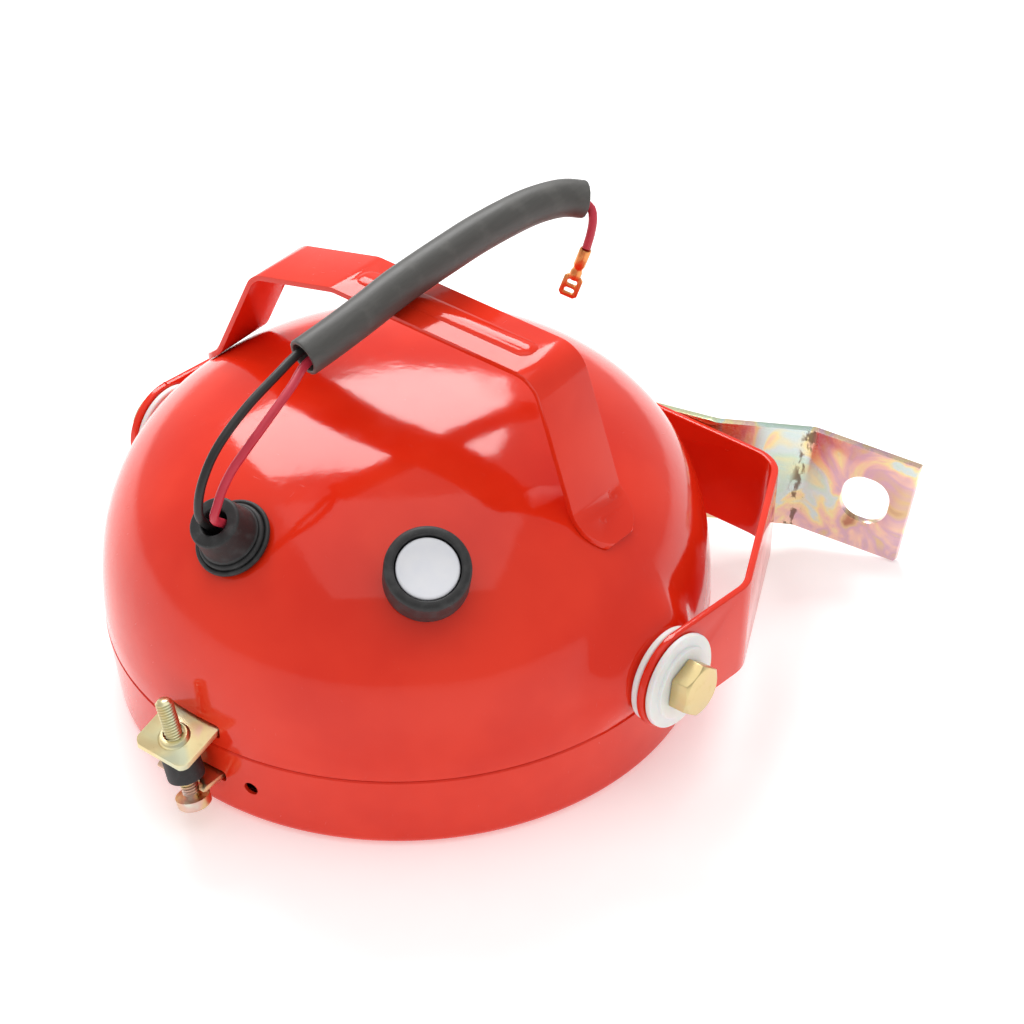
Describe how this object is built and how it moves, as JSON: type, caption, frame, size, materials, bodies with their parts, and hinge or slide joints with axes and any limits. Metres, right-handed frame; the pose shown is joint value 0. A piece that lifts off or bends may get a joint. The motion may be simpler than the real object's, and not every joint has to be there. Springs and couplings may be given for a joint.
{
  "type": "work lamp",
  "caption": "Red steel work lamp with carrying handle, push switch, clamped rim, tilting U bracket and a joggled mounting bracket.",
  "frame": {"origin": "centre of the lens's flat front face, on the lamp's optical axis, level with the rim's lip", "axes": "+Z along the optical axis towards the back of the bowl; X along the bracket's tilt pivot; +Y towards the bracket's cross bar"},
  "size_m": [0.196, 0.2143, 0.1275],
  "materials": {
    "red_paint": "gloss",
    "yellow_zinc": "yellow passivated",
    "nylon": "satin",
    "black_rubber": "matt",
    "grey_pvc": "satin",
    "black_wire": "satin",
    "red_wire": "satin",
    "copper": "bright copper",
    "white_cap": "gloss",
    "black_moulding": "satin",
    "lens_glass": "clear",
    "reflector_silver": "polished",
    "bulb_glass": "clear",
    "brass": "satin",
    "spring_steel": "satin"
  },
  "bodies": {
    "root": {"bowl": "red_paint", "rim": "red_paint", "rim_tongue": "yellow_zinc", "lens": "lens_glass", "lens_gasket": "black_rubber", "reflector": "reflector_silver", "lens_clip_1": "spring_steel", "lens_clip_2": "spring_steel", "lens_clip_3": "spring_steel", "lens_clip_4": "spring_steel", "bulb_holder": "brass", "bulb_cap": "spring_steel", "bulb_glass": "bulb_glass", "bulb_retainer": "spring_steel", "bowl_lug": "yellow_zinc", "rim_lug": "yellow_zinc", "clamp_spacer": "black_rubber", "handle": "red_paint", "switch_body": "black_moulding", "switch_bezel": "black_rubber", "grommet": "black_rubber", "pivot_washer_inner_left": "nylon", "pivot_washer_inner_right": "nylon", "pivot_washer_outer_right": "nylon", "pivot_bolt_left": "yellow_zinc", "pivot_bolt_right": "yellow_zinc", "pivot_nut_left": "yellow_zinc", "pivot_nut_right": "yellow_zinc", "cable_sleeve": "grey_pvc", "black_wire": "black_wire", "red_wire": "red_wire", "terminal": "copper", "feed_lead": "red_wire", "earth_lead": "black_wire", "switch_lead": "red_wire"},
    "bracket": {"u_bracket": "red_paint", "mount_bolt": "yellow_zinc", "mount_washer": "yellow_zinc", "mount_nut": "yellow_zinc"},
    "mount_arm": {"mount_bracket": "yellow_zinc"},
    "switch_button": {"switch_cap": "white_cap"},
    "clamp_screw_body": {"clamp_screw": "yellow_zinc"}
  },
  "joints": [
    {"name": "bracket_tilt", "type": "hinge", "parent": "root", "child": "bracket", "pos_m": [0, 0, 0.0362], "axis": [1, 0, 0], "range_deg": [-1.5, 35]},
    {"name": "mount_swivel", "type": "hinge", "parent": "bracket", "child": "mount_arm", "pos_m": [0.022, 0.08664, 0.02831], "axis": [0, 0.9959, -0.0906], "continuous": true},
    {"name": "switch_push", "type": "slide", "parent": "root", "child": "switch_button", "axis": [-0.4372, 0.4134, -0.7987], "range_m": [0, 0.003], "stiffness_N_per_m": 500},
    {"name": "clamp_turn", "type": "hinge", "parent": "root", "child": "clamp_screw_body", "pos_m": [-0.002, -0.0885, 0.0262], "axis": [-0.2588, 0, 0.9659], "continuous": true}
  ]
}
